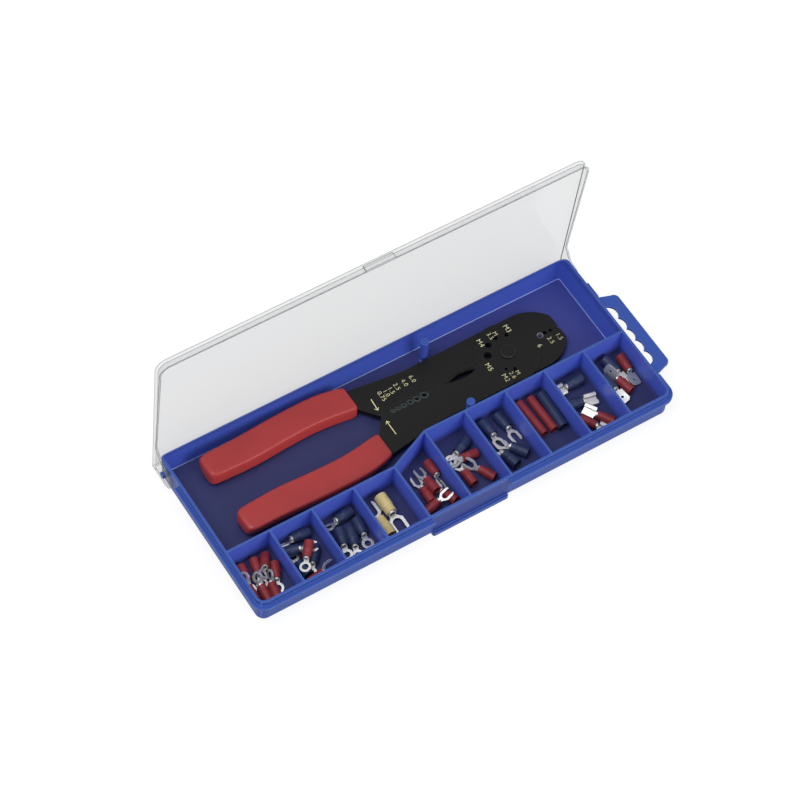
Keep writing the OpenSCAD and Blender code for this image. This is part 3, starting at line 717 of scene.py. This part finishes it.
# %% Grip outlines
CORNER_STEPS = 5
UPPER_CORNER = 1.7
INNER_CORNER = 1.3
OUTER_CORNER = 3.4
OUTER_TAPER = 1.2
LEAST_SIDE = 0.4


def grip_outline(inner, outer, thickness):
    """Points round a bar with rounded edges that tapers in at its outer foot, in millimetres."""
    tall = thickness / 2
    most = tall - LEAST_SIDE
    corners = ((outer, 1, 1, UPPER_CORNER), (inner, -1, 1, UPPER_CORNER),
               (inner, -1, -1, INNER_CORNER), (outer - OUTER_TAPER, 1, -1, OUTER_CORNER))
    points = []
    for quarter, (edge, side, top, wanted) in enumerate(corners):
        corner = min(wanted, most)
        for step in range(CORNER_STEPS):
            angle = math.radians(90 * (quarter + step / (CORNER_STEPS - 1)))
            points.append((edge - side * corner + corner * math.cos(angle),
                           top * (tall - corner) + corner * math.sin(angle)))
    return points


def skin_rings(name, rings, finish):
    """A closed smooth mesh through rings of equal point counts, in the part's frame."""
    mesh = bmesh.new()
    made = [[mesh.verts.new(point) for point in ring] for ring in rings]
    count = len(rings[0])
    for near, far in zip(made, made[1:]):
        for place in range(count):
            after = (place + 1) % count
            mesh.faces.new((near[place], near[after], far[after], far[place]))
    mesh.faces.new(made[0])
    mesh.faces.new(made[-1])
    bmesh.ops.recalc_face_normals(mesh, faces=mesh.faces)
    for face in mesh.faces:
        face.smooth = True
    data = bpy.data.meshes.new(name)
    mesh.to_mesh(data)
    mesh.free()
    data.materials.append(finish)
    piece = bpy.data.objects.new(name, data)
    bpy.context.scene.collection.objects.link(piece)
    return piece


# %% Grips
def make_grip(name, side, body, node_name):
    """One vinyl grip on the side +1 (back) or -1 (front) of the parting line."""
    rings = []
    for behind, inner, outer, thickness in GRIP_ROWS:
        ring = []
        for off_mm, up_mm in grip_outline(inner, outer, thickness):
            local = Vector((-behind, side * off_mm, up_mm)) * MM
            ring.append(tool_frame @ local)
        rings.append(ring)
    piece = skin_rings(name, rings, red_grip)
    smooth = piece.modifiers.new("smooth", "SUBSURF")
    smooth.levels = 1
    smooth.render_levels = 1
    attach(piece, body)
    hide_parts(node_name)
    return piece


make_grip("vinyl_grip_back", 1, "back_half", "grip_back")
make_grip("vinyl_grip_front", -1, "front_half", "grip_front")
print("grips made: 2")

# %% [markdown]
# ## Printed sizes
# Cream numbers beside the holes tell the user which wire goes where, and two arrows point at the
# gauge holes. On the real tool they are pad printed, a few hundredths of a millimetre thick.
# Text turned into a thin mesh keeps that true in any render.

# %% Cream print
CREAM_DARK = (0.82, 0.77, 0.40)
CREAM = (0.94, 0.90, 0.56)
cream_print, tree, shader = new_finish("cream_print", Specular_IOR_Level=0.2)
layer = add_skin(tree, shader, Edge_Radius=0.00005, Grain_Scale=2500, Grain_Depth=0.1,
                 Mottle_Scale=900)
tree.links.new(two_tone(tree, layer.outputs["Mottle"], CREAM_DARK, CREAM),
               shader.inputs["Base Color"])
tree.links.new(spread_value(tree, layer.outputs["Grain"], 0.5, 0.7), shader.inputs["Roughness"])
print("cream print ready")

# %% Tools to print on the plate
# Heights and text sizes in millimetres; the two spaces are factors.
PLATE_TOP = 1.6
PRINT_LIFT = 0.02
PRINT_DEPTH = 0.02
TEXT_SIZE = 4.3
SMALL_TEXT = 3.8
LINE_SPACE = 0.9
LETTER_SPACE = 1.08
THINNER = 0.06


def print_mesh(name, mesh, body):
    """Links a printed mesh and lets it ride on its half of the tool."""
    mesh.materials.clear()
    mesh.materials.append(cream_print)
    piece = bpy.data.objects.new(name, mesh)
    bpy.context.scene.collection.objects.link(piece)
    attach(piece, body)
    return piece


def plate_matrix(x, y, spin):
    """From print coordinates to the part's frame, at a place on the tray's plan in millimetres."""
    local = tool_frame.inverted() @ Vector((x * MM, y * MM, 0))
    place = Vector((local.x, local.y, (PLATE_TOP + PRINT_LIFT) * MM))
    turned = Matrix.Rotation(math.radians(spin), 4, "Z")
    return tool_frame @ Matrix.Translation(place) @ turned


def print_number(name, words, x, y, body, spin=-90):
    """A number printed with its middle at x, y on the tray's plan, in millimetres."""
    size = SMALL_TEXT if len(words) > 2 else TEXT_SIZE
    curve = bpy.data.curves.new(name, "FONT")
    curve.body = words
    curve.size = size * MM
    curve.align_x = "CENTER"
    curve.align_y = "CENTER"
    curve.space_line = LINE_SPACE
    curve.space_character = LETTER_SPACE
    curve.offset = -THINNER * MM
    curve.extrude = PRINT_DEPTH / 2 * MM
    holder = bpy.data.objects.new(name, curve)
    bpy.context.scene.collection.objects.link(holder)
    bpy.context.view_layer.update()
    ready = holder.evaluated_get(bpy.context.evaluated_depsgraph_get())
    mesh = bpy.data.meshes.new_from_object(ready)
    bpy.data.objects.remove(holder)
    mesh.transform(plate_matrix(x, y, spin))
    mesh.name = name
    return print_mesh(name, mesh, body)


# %% Numbers
BACK_NUMBERS = (
    ("gauge_1", "0.75", -4.2, 31.4), ("gauge_2", "1.0", -0.8, 31.9), ("gauge_3", "1.5", 2.6, 32.1),
    ("gauge_4", "2.5", 6.7, 32.8), ("gauge_5", "4.0", 12.0, 32.9), ("gauge_6", "6.0", 17.3, 33.0),
    ("bolt_1", "M4", 64.8, 34.7), ("bolt_2", "M\n3.5", 74.1, 36.0), ("bolt_3", "M3", 84.0, 35.6),
)
FRONT_NUMBERS = (
    ("die_1", "6", 93.9, 16.3), ("die_2", "2.5", 101.7, 16.4), ("die_3", "1.5", 107.5, 16.2),
    ("bolt_4", "M5", 60.1, 18.2), ("bolt_5", "M2", 64.6, 7.3), ("bolt_6", "M\n2.6", 70.8, 6.9),
)
for name, words, x, y in BACK_NUMBERS:
    print_number("print_" + name, words, x, y, "back_half")
for name, words, x, y in FRONT_NUMBERS:
    print_number("print_" + name, words, x, y, "front_half")
print("numbers:", len(BACK_NUMBERS) + len(FRONT_NUMBERS))


# %% Arrows
ARROW_LINE = 0.45
ARROW_HEAD = 2.0
ARROW_SPREAD = 1.2


def print_arrow(name, start, end, body):
    """A thin arrow from start to end on the tray's plan, in millimetres."""
    way = Vector((end[0] - start[0], end[1] - start[1], 0))
    length = way.length
    spin = math.degrees(math.atan2(way.y, way.x))
    half = ARROW_LINE / 2
    neck = length - half * 3
    barb = length - ARROW_HEAD
    outline = [(0, -half), (neck, -half), (barb, -ARROW_SPREAD),
               (barb + half, -ARROW_SPREAD - half), (length, 0),
               (barb + half, ARROW_SPREAD + half), (barb, ARROW_SPREAD),
               (neck, half), (0, half)]
    mesh = bmesh.new()
    face = mesh.faces.new([mesh.verts.new((x * MM, y * MM, 0)) for x, y in outline])
    top = bmesh.ops.extrude_face_region(mesh, geom=[face])
    raised = [part for part in top["geom"] if isinstance(part, bmesh.types.BMVert)]
    bmesh.ops.translate(mesh, verts=raised, vec=(0, 0, PRINT_DEPTH * MM))
    bmesh.ops.recalc_face_normals(mesh, faces=mesh.faces)
    data = bpy.data.meshes.new(name)
    mesh.to_mesh(data)
    mesh.free()
    data.transform(plate_matrix(start[0], start[1], spin))
    return print_mesh(name, data, body)


print_arrow("print_arrow_back", (-10.6, 32.6), (-11.2, 24.2), "back_half")
print_arrow("print_arrow_front", (-10.6, 5.7), (-10.5, 16.0), "front_half")
print("arrows: 2")
